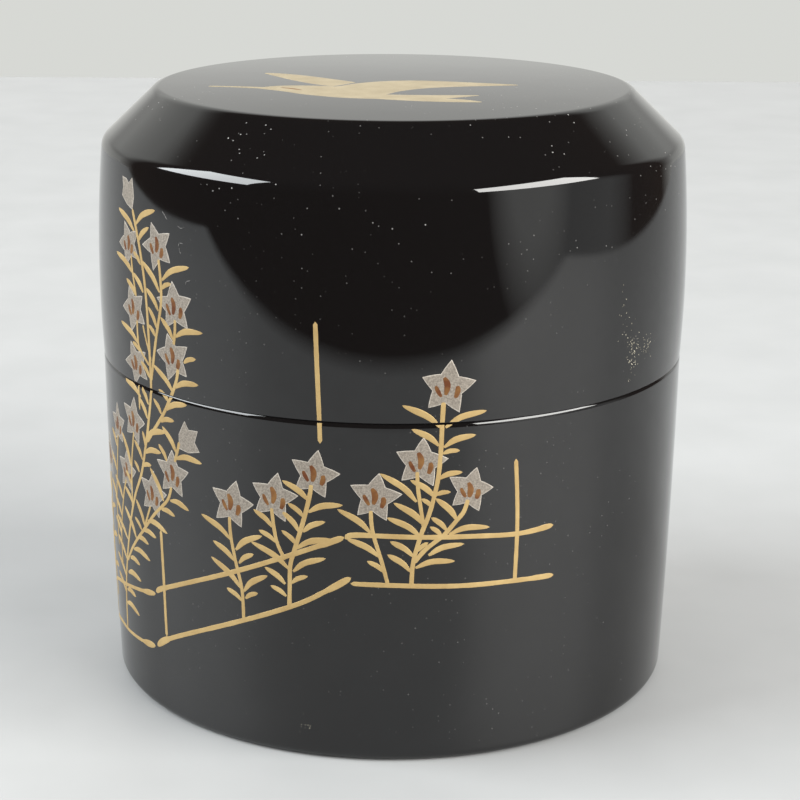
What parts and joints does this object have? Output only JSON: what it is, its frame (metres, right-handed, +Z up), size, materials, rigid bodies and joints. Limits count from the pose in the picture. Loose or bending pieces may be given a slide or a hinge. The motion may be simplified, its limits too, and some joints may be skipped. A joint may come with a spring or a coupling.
{
  "type": "lacquer tea caddy",
  "caption": "Round lacquered tea caddy with a bevelled lift-off lid that slides over an inner lip, for keeping powdered tea.",
  "frame": {"origin": "centre of the underside, on the surface that the caddy stands on", "axes": "+Z up along the turning axis; the painted front faces -Y, so +X is to the right of it"},
  "size_m": [0.069, 0.069, 0.0703],
  "materials": {
    "body": "polished black lacquer over turned wood, with gold and silver-grey painting",
    "lid": "polished black lacquer over turned wood, with gold and silver-grey painting"
  },
  "bodies": {
    "root": {"body": "body", "lid": "lid"}
  },
  "joints": []
}
